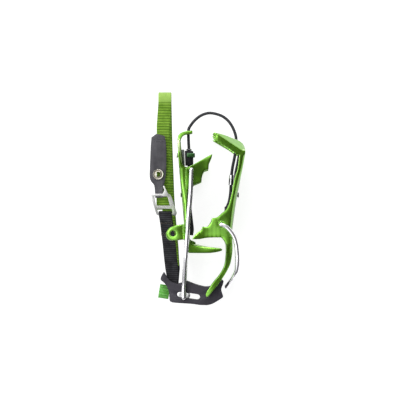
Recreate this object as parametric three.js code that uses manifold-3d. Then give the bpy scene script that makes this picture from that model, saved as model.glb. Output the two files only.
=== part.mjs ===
// A folded aluminium crampon: front and heel sections face each other, joined by a cord, with a
// toe bail, a heel bail with its lever, and an ankle strap. It lies on its side: X is across the
// folded stack, Y runs from the front points (-Y) to the instep (+Y), and Z is the crampon's width.
import * as THREE from "three";
import { ConvexGeometry } from "three/addons/geometries/ConvexGeometry.js";
import { mergeVertices } from "three/addons/utils/BufferGeometryUtils.js";
import Module from "manifold-3d";

const wasm = await Module();
wasm.setup();

// ---------------------------------------------------------------- driving dimensions, in mm
const HALF_WIDTH = 43.4; // half of the overall width
const MID = HALF_WIDTH; // height of the mid-plane above the ground
const SHEET = 3.5; // aluminium sheet
const FLANGE = 38; // outer face of a straight flange, from the mid-plane
const GAP = 0.4; // running gap between neighbours

const CORD_R = 1.6;
const HEEL_WIRE_R = 2.5;
const HEEL_WIRE_OUT = HALF_WIDTH - HEEL_WIRE_R; // wire centre, from the mid-plane
const TOE_WIRE_R = 2.3;
const TOE_WIRE_OUT = HALF_WIDTH - TOE_WIRE_R;
const PIN_R = 1.9; // turned-down wire ends

const TOE_PIVOT = [25.5, -28.5];
const HEEL_PIVOT = [-6.6, 31];
const LEVER_HALF = 22; // half of the lever's width
const LEVER_WIRE_OUT = LEVER_HALF + 0.5 + HEEL_WIRE_R;

const SLOT_CENTRE = [-9.9, -106.3];
const SLOT_TILT = THREE.MathUtils.degToRad(-9);
const SLOT_LENGTH = 25.8;
const SLOT_HEIGHT = 6.4;
const BLOCK_LENGTH = 14.5;
const BLOCK_AT = -SLOT_LENGTH / 2 + GAP + BLOCK_LENGTH / 2; // along the slot, from its centre
const WHEEL_R = 7.9;
const WHEEL_LENGTH = 11.4;
const WHEEL_LOBES = 14; // finger grips round the wheel
const WHEEL_GROOVE = 1.3; // depth between them
const WHEEL_AT = -27; // wheel centre along the slot line
const SCREW_R = 2;

const WEB_WIDTH = 14.4; // webbing
const WEB = 1.6; // webbing thickness
const BAR_Z = 14; // buckle bars, from the mid-plane
const PLY = 2.6; // webbing centre either side of a bar
const LOOP_R = BAR_Z - PLY; // strap loop's radius at its top
const LOOP_TOP = 105.2; // centre of the loop's top bend
const STRAP_PIN = [-26.5, -95];
const STRAP_PIN_Z = 17.2;

const GREEN = 0x6cb52d;
const BLACK = 0x1c1c20;
const STEEL = 0xc9c8c8;

// ---------------------------------------------------------------- geometry helpers
const group = new THREE.Group();

function add(name, geometry, color, metalness = 0, roughness = 0.6) {
  const mesh = new THREE.Mesh(geometry, new THREE.MeshStandardMaterial({ color, metalness, roughness }));
  mesh.name = name;
  group.add(mesh);
}

const aluminium = (name, geometry) => add(name, geometry, GREEN, 0.7, 0.35);
const steel = (name, geometry) => add(name, geometry, STEEL, 1, 0.3);
const black = (name, geometry) => add(name, geometry, BLACK);

// Geometry to solid and back, for joining and cutting.
function solid(geometry) {
  const g = geometry.index ? geometry : geometry.clone();
  g.deleteAttribute("normal");
  g.deleteAttribute("uv");
  const merged = mergeVertices(g, 1e-4);
  return new wasm.Manifold(new wasm.Mesh({
    numProp: 3,
    vertProperties: new Float32Array(merged.attributes.position.array),
    triVerts: new Uint32Array(merged.index.array),
  }));
}

function geometryOf(manifold) {
  const mesh = manifold.getMesh();
  const g = new THREE.BufferGeometry();
  g.setAttribute("position", new THREE.BufferAttribute(new Float32Array(mesh.vertProperties), 3));
  g.setIndex(new THREE.BufferAttribute(new Uint32Array(mesh.triVerts), 1));
  return g;
}

const join = (first, ...rest) => rest.reduce((sum, s) => sum.add(s), first);

// A smooth run of outline points through the given ones.
function smooth(points, perSpan = 3) {
  const curve = new THREE.SplineCurve(points.map((p) => new THREE.Vector2(...p)));
  return curve.getPoints((points.length - 1) * perSpan).map((v) => [v.x, v.y]);
}

const shapeOf = (points) => new THREE.Shape(points.map((p) => new THREE.Vector2(...p)));

// Side outlines in XY, extruded over a range of widths measured from the mid-plane.
function slab(points, low, high) {
  const g = new THREE.ExtrudeGeometry(shapeOf(points), { depth: high - low, bevelEnabled: false });
  return solid(g.translate(0, 0, MID + low));
}

// Plan outlines in YZ (width from the mid-plane), extruded along X.
function planSlab(points, low, high) {
  const g = new THREE.ExtrudeGeometry(shapeOf(points), { depth: high - low, bevelEnabled: false });
  const place = new THREE.Matrix4().makeBasis(
    new THREE.Vector3(0, 1, 0), new THREE.Vector3(0, 0, 1), new THREE.Vector3(1, 0, 0));
  return solid(g.applyMatrix4(place).translate(low, 0, MID));
}

// Bent-sheet profiles in XZ (width from the mid-plane), extruded along Y.
function bentSlab(points, low, high) {
  const g = new THREE.ExtrudeGeometry(shapeOf(points), { depth: high - low, bevelEnabled: false });
  const place = new THREE.Matrix4().makeBasis(
    new THREE.Vector3(1, 0, 0), new THREE.Vector3(0, 0, 1), new THREE.Vector3(0, -1, 0));
  return solid(g.applyMatrix4(place).translate(0, high, MID));
}

// A strip of the given thickness beside a run of points; positive thickness lies to the right.
function strip(points, thickness) {
  const side = points.map((p, i) => {
    const a = points[Math.max(i - 1, 0)];
    const b = points[Math.min(i + 1, points.length - 1)];
    const length = Math.hypot(b[0] - a[0], b[1] - a[1]);
    return [p[0] + (thickness * (b[1] - a[1])) / length, p[1] - (thickness * (b[0] - a[0])) / length];
  });
  return [...points, ...side.reverse()];
}

const mirrored = (points) => points.map(([a, b]) => [a, -b]).reverse();
const hull = (points) => solid(new ConvexGeometry(points.map((p) => new THREE.Vector3(p[0], p[1],
  MID + p[2]))));

// A rod of circular section from one point to another, widths measured from the mid-plane.
function rod(from, to, radius, sides = 16) {
  const a = new THREE.Vector3(from[0], from[1], MID + from[2]);
  const b = new THREE.Vector3(to[0], to[1], MID + to[2]);
  const g = new THREE.CylinderGeometry(radius, radius, a.distanceTo(b), sides);
  const turn = new THREE.Quaternion().setFromUnitVectors(
    new THREE.Vector3(0, 1, 0), b.clone().sub(a).normalize());
  return solid(g.applyQuaternion(turn).translate(...a.add(b).multiplyScalar(0.5).toArray()));
}

function ball(at, radius, around = 10, along = 6) {
  const g = new THREE.SphereGeometry(radius, around, along);
  return solid(g.translate(at[0], at[1], MID + at[2]));
}

// A wire's route takes its steps from its own points, so that bends get more of them.
class Route extends THREE.CatmullRomCurve3 {
  getSpacedPoints(steps) { return this.getPoints(steps); }
  getPointAt(t, target) { return this.getPoint(t, target); }
  getTangentAt(t, target) { return this.getTangent(t, target); }
}

function tube(points, radius, steps, sides = 10) {
  const section = new THREE.Shape();
  for (let i = 0; i < sides; i++) {
    const angle = (i / sides) * 2 * Math.PI;
    section[i ? "lineTo" : "moveTo"](radius * Math.cos(angle), radius * Math.sin(angle));
  }
  const route = new Route(points.map((p) => new THREE.Vector3(p[0], p[1], MID + p[2])), false, "centripetal");
  return solid(new THREE.ExtrudeGeometry(section, { steps, extrudePath: route }));
}

// A flat band along a route in YZ; its width stays along X, centred at x of each point.
// A fourth value of a point narrows the band there.
function ribbon(points, width, thickness) {
  const position = [];
  const index = [];
  points.forEach((p, i) => {
    const a = points[Math.max(i - 1, 0)];
    const b = points[Math.min(i + 1, points.length - 1)];
    const length = Math.hypot(b[1] - a[1], b[2] - a[2]);
    const ny = (-(b[2] - a[2]) / length) * (thickness / 2);
    const nz = ((b[1] - a[1]) / length) * (thickness / 2);
    for (const [sx, sn] of [[-1, -1], [1, -1], [1, 1], [-1, 1]]) {
      position.push(p[0] + (sx * (p[3] ?? width)) / 2, p[1] + sn * ny, MID + p[2] + sn * nz);
    }
    if (i === 0) return;
    for (let k = 0; k < 4; k++) {
      const [c, d] = [4 * (i - 1) + k, 4 * (i - 1) + ((k + 1) % 4)];
      index.push(c, c + 4, d, d, c + 4, d + 4);
    }
  });
  const last = position.length / 3 - 4;
  index.push(0, 1, 2, 0, 2, 3, last, last + 2, last + 1, last, last + 3, last + 2);
  const g = new THREE.BufferGeometry();
  g.setAttribute("position", new THREE.Float32BufferAttribute(position, 3));
  g.setIndex(index);
  return g;
}

// Points between two others, and a half turn about an X axis, for ribbons.
function between(a, b, count) {
  const steps = Array.from({ length: count }, (_, i) => i / count);
  return steps.map((t) => a.map((v, k) => v + (b[k] - v) * t));
}

function turn(x, y, z, radius, from, to, count = 10) {
  return Array.from({ length: count + 1 }, (_, i) => {
    const angle = THREE.MathUtils.degToRad(from + ((to - from) * i) / count);
    return [x, y + radius * Math.cos(angle), z + radius * Math.sin(angle)];
  });
}

// ---------------------------------------------------------------- front section
const FRONT_EDGE = smooth([[40, 65.2], [45, 63.3], [49.3, 60], [51.6, 56], [52.2, 50], [50, 37], [45.8, 15],
  [42.5, -2], [39.6, -22], [37.6, -38], [37.6, -44]]);
const CORD_EXIT = [42.8, 65]; // where the cord leaves the front section
const CLIP_AT = [4, 21]; // antisnow clips: along Y, and width from the mid-plane

function frontFrame() {
  // Side outline of a flange, with the serrated side point.
  const flange = [...smooth([[37.6, -44], [39.6, -22], [42.5, -2], [45.8, 15], [50, 37], [52.2, 50]]),
    [46, 50.5],
    ...smooth([[43.8, 32], [40, 20.5], [36.8, 4], [32.5, -10], [26.4, -16], [21.4, -20.4], [15.8, -21.4]]),
    ...smooth([[14.8, -25], [12, -29.4], [10.4, -31.2]]),
    ...smooth([[5.2, -30.6], [4.4, -33.8], [2.4, -35.6]]),
    ...smooth([[-0.4, -37.4], [-3.2, -40.3], [-6, -44.6]]),
    ...smooth([[3, -44.4], [12, -42.8], [27, -42.6]]), [31, -44]];
  const splay = [[54, FLANGE], [28, FLANGE], [-7, HALF_WIDTH], [-7, HALF_WIDTH - SHEET],
    [28, FLANGE - SHEET], [54, FLANGE - SHEET]];
  // Rear point: its side band is splayed more, and ends in a fish tail.
  const band = [[17.5, 71.4], [22.5, 66.8], [16, 65.2], ...smooth([[25, 59.6], [36, 53], [42, 48]]),
    [51, 47], [51.5, 50], ...smooth([[47.5, 53], [41, 57], [30, 64], [17.5, 71.4]])];
  const bandSplay = [[54, FLANGE], [45, FLANGE], [15, HALF_WIDTH], [15, HALF_WIDTH - SHEET],
    [45, FLANGE - SHEET], [54, FLANGE - SHEET]];
  // Front point: the arm turns inwards from the flange, and runs down to a rounded tip.
  const arm = [...smooth([[37.6, -36], [38.2, -48], [38.2, -58], [36, -71], [31.5, -80.5], [25, -90.5],
    [12.5, -106.4]]),
    ...smooth([[12.5, -106.4], [10.6, -107.8], [9, -106.6], [9.2, -103]], 2),
    ...smooth([[9.2, -103], [18, -90.8], [24, -83.6], [28.6, -75.5], [30.6, -66], [30.8, -50],
    [26, -42.6]]), [26, -36]];
  const armTurn = [[-34, FLANGE], [-50, FLANGE], [-78, 28.8], [-110, 28.8], [-110, 25.3], [-78, 25.3],
    [-50, FLANGE - SHEET], [-34, FLANGE - SHEET]];
  const rail = (side, profile) => (side > 0 ? profile : mirrored(profile));
  // Folded gusset between the rear cross plate and a rear point.
  const rim = [[17.5, 71.2, 42.6], [30, 64, 40.6], [41, 57, 38.6], [47.5, 53, 37.8], [51.8, 49, 37.8],
    [18, 72, 41.2], [24, 71, 37], [31, 69, 32], [40, 65.2, 27], [45, 63.3, 26], [49.3, 60, 26],
    [51.6, 56, 27]];
  const under = rim.map(([x, y, z]) => [x - 1.6, y - 2.2, z - 2.2]);
  const parts = [1, -1].flatMap((side) => [
    slab(flange, -HALF_WIDTH, HALF_WIDTH).intersect(bentSlab(rail(side, splay), -50, 60)),
    slab(band, -HALF_WIDTH, HALF_WIDTH).intersect(bentSlab(rail(side, bandSplay), 40, 75)),
    slab(arm, -HALF_WIDTH, HALF_WIDTH).intersect(planSlab(rail(side, armTurn), 5, 45)),
    hull([...rim, ...under].map(([x, y, z]) => [x, y, side * z])),
  ]);
  // Boot plate: bowed sheet, cut to its plan outline and lightened by windows.
  const plan = [[70, -27], [70, 27], [56, 27], [52, FLANGE], [-43, FLANGE], [-43, 27],
    ...smooth([[-40, 22], [-34, 12], [-34, -12], [-40, -22]]), [-43, -27], [-43, -FLANGE], [52, -FLANGE],
    [56, -27]];
  let plate = slab(strip(FRONT_EDGE, SHEET), -FLANGE, FLANGE).intersect(planSlab(plan, 20, 60));
  for (const side of [1, -1]) {
    const windows = [roundedSlot(13, 46, side * 4, side * 24, 6),
      roundedSlot(-26, -8, side * 4, side * 24, 5)];
    plate = windows.reduce((rest, w) => rest.subtract(planSlab(w, 20, 60)), plate);
    plate = plate.subtract(rod([30, CLIP_AT[0], side * CLIP_AT[1]], [55, CLIP_AT[0], side * CLIP_AT[1]],
      2.2));
  }
  let frame = join(plate, ...parts);
  frame = frame.subtract(rod([CORD_EXIT[0] + 1, 72, 0], [CORD_EXIT[0] - 2, 56, 0], CORD_R + 1.2));
  frame = frame.subtract(rod([...TOE_PIVOT, -HALF_WIDTH], [...TOE_PIVOT, HALF_WIDTH], PIN_R + 0.3));
  aluminium("front_frame", geometryOf(frame));
}

// A window in a plan outline, with cut corners.
function roundedSlot(y0, y1, z0, z1, r) {
  const [a, b] = [Math.min(z0, z1), Math.max(z0, z1)];
  const k = r * 0.3;
  return [[y0 + r, a], [y1 - r, a], [y1 - k, a + k], [y1, a + r], [y1, b - r], [y1 - k, b - k], [y1 - r, b],
    [y0 + r, b], [y0 + k, b - k], [y0, b - r], [y0, a + r], [y0 + k, a + k]];
}

function frontFittings() {
  const inside = strip(FRONT_EDGE, SHEET + GAP).slice(FRONT_EDGE.length).filter(([, y]) => y < 48 && y > -36);
  const under = smooth([[44.4, 48], [42.6, 38], [40.7, 29], [39.9, 20], [38.6, 10], [35, 1], [31.8, -7],
    [29.6, -14], [29.5, -35]]);
  const channel = [[28, 14], [39.2, 14], [38.8, 4], [36.6, -8], [36, -15], [28, -15]];
  const at = (x, side) => [x, CLIP_AT[0], side * CLIP_AT[1]];
  let pad = slab([...inside, ...under], -33.9, 33.9).subtract(slab(channel, -3.6, 3.6));
  for (const [name, side] of [["near", 1], ["far", -1]]) {
    pad = pad.subtract(rod(at(20, side), at(43, side), 2.2)).subtract(rod(at(20, side), at(37.2, side), 3.4));
    const clip = join(rod(at(35.4, side), at(36.8, side), 3), rod(at(36, side), at(45, side), 1.8, 12),
      rod(at(44.5, side), at(45.2, side), 2.7));
    black(`front_clip_${name}`, geometryOf(clip));
  }
  black("front_antisnow", geometryOf(pad));
}

// A wire loop of two mirrored halves, with turned-down pins in the flanges.
function toeBail() {
  const out = TOE_WIRE_OUT;
  const half = [[...TOE_PIVOT, out], [30.5, -30.6, out], [36, -36, out], [40, -42.4, out], [42.4, -51, out],
    [43.4, -61, out], [43.4, -72, 40.6], [42.4, -79, 37.6], [39, -86, 30.5], [34.6, -93, 21.5],
    [32.3, -96.3, 13]];
  const other = half.map(([x, y, z]) => [x, y, -z]).reverse();
  const wire = tube([...half, [32.2, -96.5, 0], ...other], TOE_WIRE_R, 44, 8);
  const ends = [1, -1].flatMap((side) => [ball([...TOE_PIVOT, side * out], TOE_WIRE_R),
    rod([...TOE_PIVOT, side * 31.5], [...TOE_PIVOT, side * out], PIN_R, 12)]);
  steel("toe_bail", geometryOf(join(wire, ...ends)));
}

// ---------------------------------------------------------------- heel section
const HEEL_EDGE = smooth([[-22, 65], [-21.4, 50], [-20, 31.5], [-17.6, 6], [-15.2, -21], [-14, -36],
  [-13.4, -45]]);
const CORD_LOCK_X = -9.4; // the cord's line through the lock
const LOCK_RIVET_Y = 47.5;
const HEEL_CLIP_Y = 4;

function heelFrame() {
  // Side outline: serrated front point, waist, ear with its spare hole, and rear point.
  const flange = [...smooth([[-20.2, 34.4], [-19, 20], [-17.6, 6], [-15.2, -21], [-14.6, -28]]), [-22.5, -29],
    ...smooth([[-22.5, -29], [-30, -31.8], [-34.4, -38], [-32.6, -44], [-27, -46], [-15, -44.8]]),
    [-12.6, -46], [-11.8, -57], ...smooth([[-9.8, -59.5], [14, -59.5], [25, -57.6], [27.2, -56],
    [25, -54.4], [8, -52.6],
      [-2, -51.6], [-7, -49]], 2), [-8.4, -44],
    ...smooth([[-9, -29], [-11.4, -14], [-10.6, 0], [-9.6, 9], [-4, 14.5]]),
    ...smooth([[4.4, 18], [5.2, 25], [7.4, 30]]),
    ...smooth([[12, 31.2], [12.6, 38], [15.4, 44.4]]), [16.4, 48.6],
    ...smooth([[16, 48.4], [3, 41.2], [-6, 36], [-11, 34.2], [-14.6, 35.2], [-17, 38.4], [-18.4, 44],
      [-19, 52]]),
    ...smooth([[-21.4, 52], [-20.9, 44], [-20.2, 34.4]]).slice(0, -1)];
  const plan = [[70, -13], [70, 13], ...smooth([[40, 13], [34, 20], [31, 30], [30, FLANGE]]), [-44.5, FLANGE],
    ...smooth([[-44, 24], [-36, 14], [-36, -14], [-44, -24]]), [-44.5, -FLANGE],
    ...smooth([[30, -FLANGE], [31, -30], [34, -20], [40, -13]])];
  let plate = slab(strip(HEEL_EDGE, -SHEET + 0.5), -FLANGE, FLANGE).intersect(planSlab(plan, -30, 0));
  for (const side of [1, -1]) {
    plate = plate.subtract(planSlab(roundedSlot(-28, 16, side * 4, side * 25, 6), -30, 0));
  }
  const lip = [...smooth([[-22, 65], [-21.4, 50], [-20, 31.5]]),
    ...smooth([[-15, 31.5], [-16.4, 41], [-18.4, 63]])];
  const hook = [[-22, 63], ...smooth([[-22, 65], [-21, 69.6], [-17.8, 72.6], [-12, 74.4], [-5.6, 75]]),
    [-5.4, 71.4],
    ...smooth([[-5.6, 71], [-12, 70.4], [-16, 68.8], [-18, 65.6]]), [-18.6, 63]];
  const rearPlate = strip([[-13.4, -42.5], [-9.8, -47.2], [-3, -50.6]], -3);
  const rim = [[-8, -50, 37.6], [8, -53.4, 37.8], [19, -55, 37.8], [-8.4, -48, 33], [-4, -50.4, 31],
    [8, -52.4, 33], [18, -54.2, 36.4]];
  const sides = [1, -1].flatMap((side) => {
    const wall = side > 0 ? [FLANGE - SHEET, FLANGE] : [-FLANGE, SHEET - FLANGE];
    const web = side > 0 ? [10, 13] : [-13, -10];
    const points = [...rim, ...rim.map(([x, y, z]) => [x, y - 2.5, z - 2])];
    return [slab(flange, ...wall), slab(lip, ...web), hull(points.map(([x, y, z]) => [x, y, side * z]))];
  });
  let frame = join(plate, ...sides, slab(hook, -7, 7), slab(rearPlate, -35, 35));
  const bores = [
    rod([...HEEL_PIVOT, -HALF_WIDTH], [...HEEL_PIVOT, HALF_WIDTH], PIN_R + 0.3),
    rod([-26.5, -38.4, -HALF_WIDTH], [-26.5, -38.4, HALF_WIDTH], 3),
    rod([-9.8, 66, 0], [-9.8, 80, 0], CORD_R + 0.6),
    rod([-30, LOCK_RIVET_Y, 0], [-10, LOCK_RIVET_Y, 0], 2.2),
    ...[1, -1].map((side) => rod([-30, HEEL_CLIP_Y, side * 29.5], [0, HEEL_CLIP_Y, side * 29.5], 2)),
  ];
  frame = bores.reduce((rest, bore) => rest.subtract(bore), frame);
  aluminium("heel_frame", geometryOf(frame));
}

function heelFittings() {
  const inside = strip(HEEL_EDGE, -SHEET + 0.5 - GAP).slice(HEEL_EDGE.length).filter(([, y]) => y < 27 
    & y > -41);
  const under = smooth([[-10.5, 26], [-8.2, 5], [-6.4, -12], [-4.8, -26], [-4, -34], [-5, -40.5]]);
  let pad = slab([...inside, ...under], -33.9, 33.9);
  for (const [name, side] of [["near", 1], ["far", -1]]) {
    const at = (x) => [x, HEEL_CLIP_Y, side * 29.5];
    pad = pad.subtract(rod(at(-20), at(0), 2));
    const clip = join(rod(at(-7.6), at(-6.2), 3), rod(at(-18), at(-6.6), 1.6, 12),
      rod(at(-18.4), at(-17.9), 2.5));
    black(`heel_clip_${name}`, geometryOf(clip));
  }
  black("heel_antisnow", geometryOf(pad));
}

function cordLock() {
  const rivet = (from, to, r, sides = 16) => rod([from, LOCK_RIVET_Y, 0], [to, LOCK_RIVET_Y, 0], r, sides);
  const bore = rod([CORD_LOCK_X, 30, 0], [CORD_LOCK_X, 60, 0], CORD_R + GAP);
  const back = slab([[-16.8, 35.4], [-13.9, 35.4], [-14.6, 54], [-17.4, 54]], -9.6,
    9.6).subtract(rivet(-20, -10, 2.2));
  add("cord_lock_plate", geometryOf(back), 0x8c8d90, 0.6, 0.4);
  const body = slab([[-13.4, 36.4], [-5.4, 36.4], [-4.6, 37.6], [-4.6, 51.6], [-5.6, 52.6], [-14, 52.6]],
    -7, 7);
  black("cord_lock_body", geometryOf(body.subtract(bore)));
  const arms = [1, -1].map((side) => slab([[-11.8, 45.4], [-2.8, 45.4], [-2.8, 50], [-11.8, 50]],
    side > 0 ? 7.4 : -9.4, side > 0 ? 9.4 : -7.4));
  const face = slab([[-4.2, 45.4], [-2.8, 45.4], [-2.8, 50], [-4.2, 50]], -9.4, 9.4);
  aluminium("cord_lock_button", geometryOf(join(face, ...arms)));
  steel("cord_lock_rivet", geometryOf(join(rivet(-23, -21.8, 2.8), rivet(-22.4, -14.3, 1.7, 12))));
  const collar = rod([CORD_LOCK_X, 53, 0], [CORD_LOCK_X, 54.6, 0], 2.9).subtract(bore);
  add("cord_lock_collar", geometryOf(collar), 0x8c8d90, 0.6, 0.4);
}

// ---------------------------------------------------------------- cord
// The cord is one length; each stretch ends a little short of the hinge where it bends.
const BEND_GAP = 1;
const CORD = {
  cord_front: [[33.6, -7.5, 0], [35.4, 0, 0], [36.5, 9, 0], [36.9, 20, 0], [38.3, 33, 0], [41, 47, 0],
    [42.4, 58, 0], [42.4, 67, 0], [41.6, 71, 0]],
  cord_link_front: [[41.6, 71, 0], [38.6, 78.6, 0], [34.2, 85.2, 0], [27.6, 90.6, 0], [19, 93.6, 0]],
  cord_link_heel: [[19, 93.6, 0], [12, 94.2, 0], [4, 91.6, 0], [-2.6, 86.6, 0], [-7.4, 80.8, 0],
    [-9.6, 76.8, 0]],
  cord_heel: [[-9.6, 76.8, 0], [-10, 72, 0], [-9.8, 62, 0], [CORD_LOCK_X, 54, 0], [CORD_LOCK_X, 35.4, 0]],
};

function cords() {
  const trim = { cord_front: [0, 1], cord_link_front: [1, 1], cord_link_heel: [1, 1], cord_heel: [1, 0] };
  for (const [name, points] of Object.entries(CORD)) {
    const route = new THREE.CatmullRomCurve3(points.map((p) => new THREE.Vector3(...p)), false,
      "centripetal");
    const length = route.getLength();
    const start = (trim[name][0] * BEND_GAP) / length;
    const end = 1 - (trim[name][1] * BEND_GAP) / length;
    const count = Math.ceil(length / 4);
    const run = Array.from({ length: count + 1 }, (_,
      i) => route.getPointAt(start + ((end - start) * i) / count));
    black(name, geometryOf(tube(run.map((v) => v.toArray()), CORD_R, count, 8)));
  }
  black("cord_knot_front", geometryOf(ball([32.6, -10.8, 0], 3)));
  black("cord_knot_heel", geometryOf(ball([CORD_LOCK_X, 32, 0], 3)));
  const ring = rod([36.6, 15, 0], [37.3, 26, 0],
    CORD_R + 0.9).subtract(tube(CORD.cord_front, CORD_R + GAP, 24, 12));
  steel("cord_ferrule", geometryOf(ring));
}

// ---------------------------------------------------------------- heel bail and lever
// A point on the slot's line, at a distance from the slot's centre, and to its upper side.
function onSlot(along, across = 0) {
  const [c, s] = [Math.cos(SLOT_TILT), Math.sin(SLOT_TILT)];
  return [SLOT_CENTRE[0] + along * c - across * s, SLOT_CENTRE[1] + along * s + across * c];
}

const LEVER_PIVOT = onSlot(BLOCK_AT);
const alongSlot = (from, to, radius, sides) => rod([...onSlot(from), 0], [...onSlot(to), 0], radius, sides);

function heelBail() {
  const out = HEEL_WIRE_OUT;
  const inner = LEVER_WIRE_OUT;
  const [px, py] = LEVER_PIVOT;
  for (const [name, side] of [["near", 1], ["far", -1]]) {
    const route = [[...HEEL_PIVOT, out], [-7.6, 6, out], [-9.6, -18, out], [-11.1, -40, out],
      [-12.2, -57, out],
      [-12.5, -62, out - 0.1], [-12.8, -66, out - 1.1], [-13.9, -82, 31.6], [-14.6, -93, inner + 0.9],
      [px, -98, inner], [px, py - 2.8, inner]].map(([x, y, z]) => [x, y, side * z]);
    const wire = join(tube(route, HEEL_WIRE_R, 20, 8), ball(route[0], HEEL_WIRE_R),
      ball(route.at(-1), HEEL_WIRE_R),
      rod([...HEEL_PIVOT, side * 31.5], [...HEEL_PIVOT, side * out], PIN_R, 12),
      rod([px, py, side * 14.5], [px, py, side * inner], PIN_R, 12));
    steel(`heel_bail_${name}`, geometryOf(wire));
  }
}

function slotOutline(from, to, half) {
  const ends = [[to - half, -90, 90], [from + half, 90, 270]];
  return ends.flatMap(([centre, low, high]) => Array.from({ length: 7 }, (_, i) => {
    const angle = THREE.MathUtils.degToRad(low + ((high - low) * i) / 6);
    return onSlot(centre + half * Math.cos(angle), half * Math.sin(angle));
  }));
}

function adjuster() {
  const half = SLOT_HEIGHT / 2 - 0.3;
  const [from, to] = [BLOCK_AT - BLOCK_LENGTH / 2, BLOCK_AT + BLOCK_LENGTH / 2];
  let block = slab(slotOutline(from, to, half), -LEVER_HALF + 0.4, LEVER_HALF - 0.4);
  block = block.subtract(alongSlot(from - 5, to + 5, SCREW_R + 0.3));
  for (const side of [1, -1]) {
    block = block.subtract(rod([...LEVER_PIVOT, side * 14], [...LEVER_PIVOT, side * 30], PIN_R + 0.3));
  }
  add("adjuster_block", geometryOf(block), 0xd8d8d6, 1, 0.25);
  const inner = WHEEL_AT + WHEEL_LENGTH / 2;
  const rib = Array.from({ length: 4 * WHEEL_LOBES }, (_, i) => {
    const angle = (i / (4 * WHEEL_LOBES)) * 2 * Math.PI;
    const r = WHEEL_R - WHEEL_GROOVE * (0.5 - 0.5 * Math.cos(angle * WHEEL_LOBES));
    return [r * Math.cos(angle), r * Math.sin(angle)];
  });
  const g = new THREE.ExtrudeGeometry(shapeOf(rib), { depth: WHEEL_LENGTH, bevelEnabled: false });
  g.translate(0, 0, -WHEEL_LENGTH / 2).rotateY(Math.PI / 2).rotateZ(SLOT_TILT);
  const wheel = solid(g.translate(...onSlot(WHEEL_AT), MID)).subtract(alongSlot(WHEEL_AT - 2, 0,
    SCREW_R + 0.3));
  add("adjuster_wheel", geometryOf(wheel), 0x4f9a2f, 0, 0.5);
  steel("adjuster_screw", geometryOf(alongSlot(WHEEL_AT - 1.6, to - 0.4, SCREW_R, 12)));
  const washer = alongSlot(inner + 0.3, inner + 1.1,
    5).subtract(alongSlot(inner - 1, inner + 3, SCREW_R + 0.4));
  steel("adjuster_washer", geometryOf(washer));
}

function heelLever() {
  const outline = [[-37, -80.5], ...smooth([[-38.6, -83], [-40.4, -88.4], [-36, -92.6], [-32.4, -98.4],
    [-30.6, -105.6]]),
    ...smooth([[-30.6, -110.4], [-27.4, -113.6], [-8, -115], [3, -116.4]]),
    ...smooth([[10.5, -116.6], [16, -115.2],
      [22.5, -111.6], [27.4, -108.2], [28, -106.4]]), ...smooth([[26.2, -101], [26.2, -98], [28, -93.4]]),
    [28.6, -90.4], [27, -88.6], ...smooth([[14.4, -96], [8, -96.4], [-2, -93.8], [-11.6, -90]]),
    ...smooth([[-13, -90.6], [-21.5, -93.2], [-30.5, -89.6], [-37, -80.5]], 2).slice(0, -1)];
  let body = slab(outline, -LEVER_HALF, LEVER_HALF);
  const pocket = [[-50, -70], [-10, -70], [-13, -97], [-18, -100.2], [-23.2, -100.4], [-24, -101.6],
    [-50, -101.6]];
  const inner = WHEEL_AT + WHEEL_LENGTH / 2 + 1.4;
  const corner = (a, b) => onSlot(a, b);
  const wheelRoom = [corner(inner, 9.4), corner(inner, -9.4), corner(inner - 40, -9.4),
    corner(inner - 40, 9.4)];
  for (const side of [1, -1]) {
    const [a, b] = [side * 15.4, side * 19];
    body = body.subtract(slab(pocket, Math.min(a, b), Math.max(a, b)));
  }
  body = body.subtract(slab(wheelRoom, -9, 9));
  body = body.subtract(slab(slotOutline(-SLOT_LENGTH / 2, SLOT_LENGTH / 2, SLOT_HEIGHT / 2), -30, 30));
  body = body.subtract(alongSlot(-30, -10, SCREW_R + 0.4));
  body = body.subtract(rod([...STRAP_PIN, -18.9], [...STRAP_PIN, 18.9], 1.8, 12));
  black("heel_lever", geometryOf(body));
}

// ---------------------------------------------------------------- ankle strap
const BUCKLE_BAR = [-37.8, -9.5]; // middle bar
const SLIDE_Z = 9.9; // slide bar behind the middle bar, where the webbing turns back
const SLIDE_PLY = 2; // webbing centre either side of the slide bar
const BUCKLE_TILT = THREE.MathUtils.degToRad(21);
const BUCKLE_SHEET = 1.6;
const LOWER_BAR_Y = -16.9; // bottom bar, inside the lower webbing's loop

// Buckle outlines lie in its own tilted plane, which turns about the middle bar.
function buckleSlab(points, low, high) {
  const flat = points.map(([x, y]) => [x, (y - BUCKLE_BAR[1]) / Math.cos(BUCKLE_TILT)]);
  const g = new THREE.ExtrudeGeometry(shapeOf(flat), { depth: high - low, bevelEnabled: false });
  return solid(g.translate(0, 0, low).rotateX(BUCKLE_TILT).translate(0, BUCKLE_BAR[1], MID + BAR_Z));
}

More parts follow.
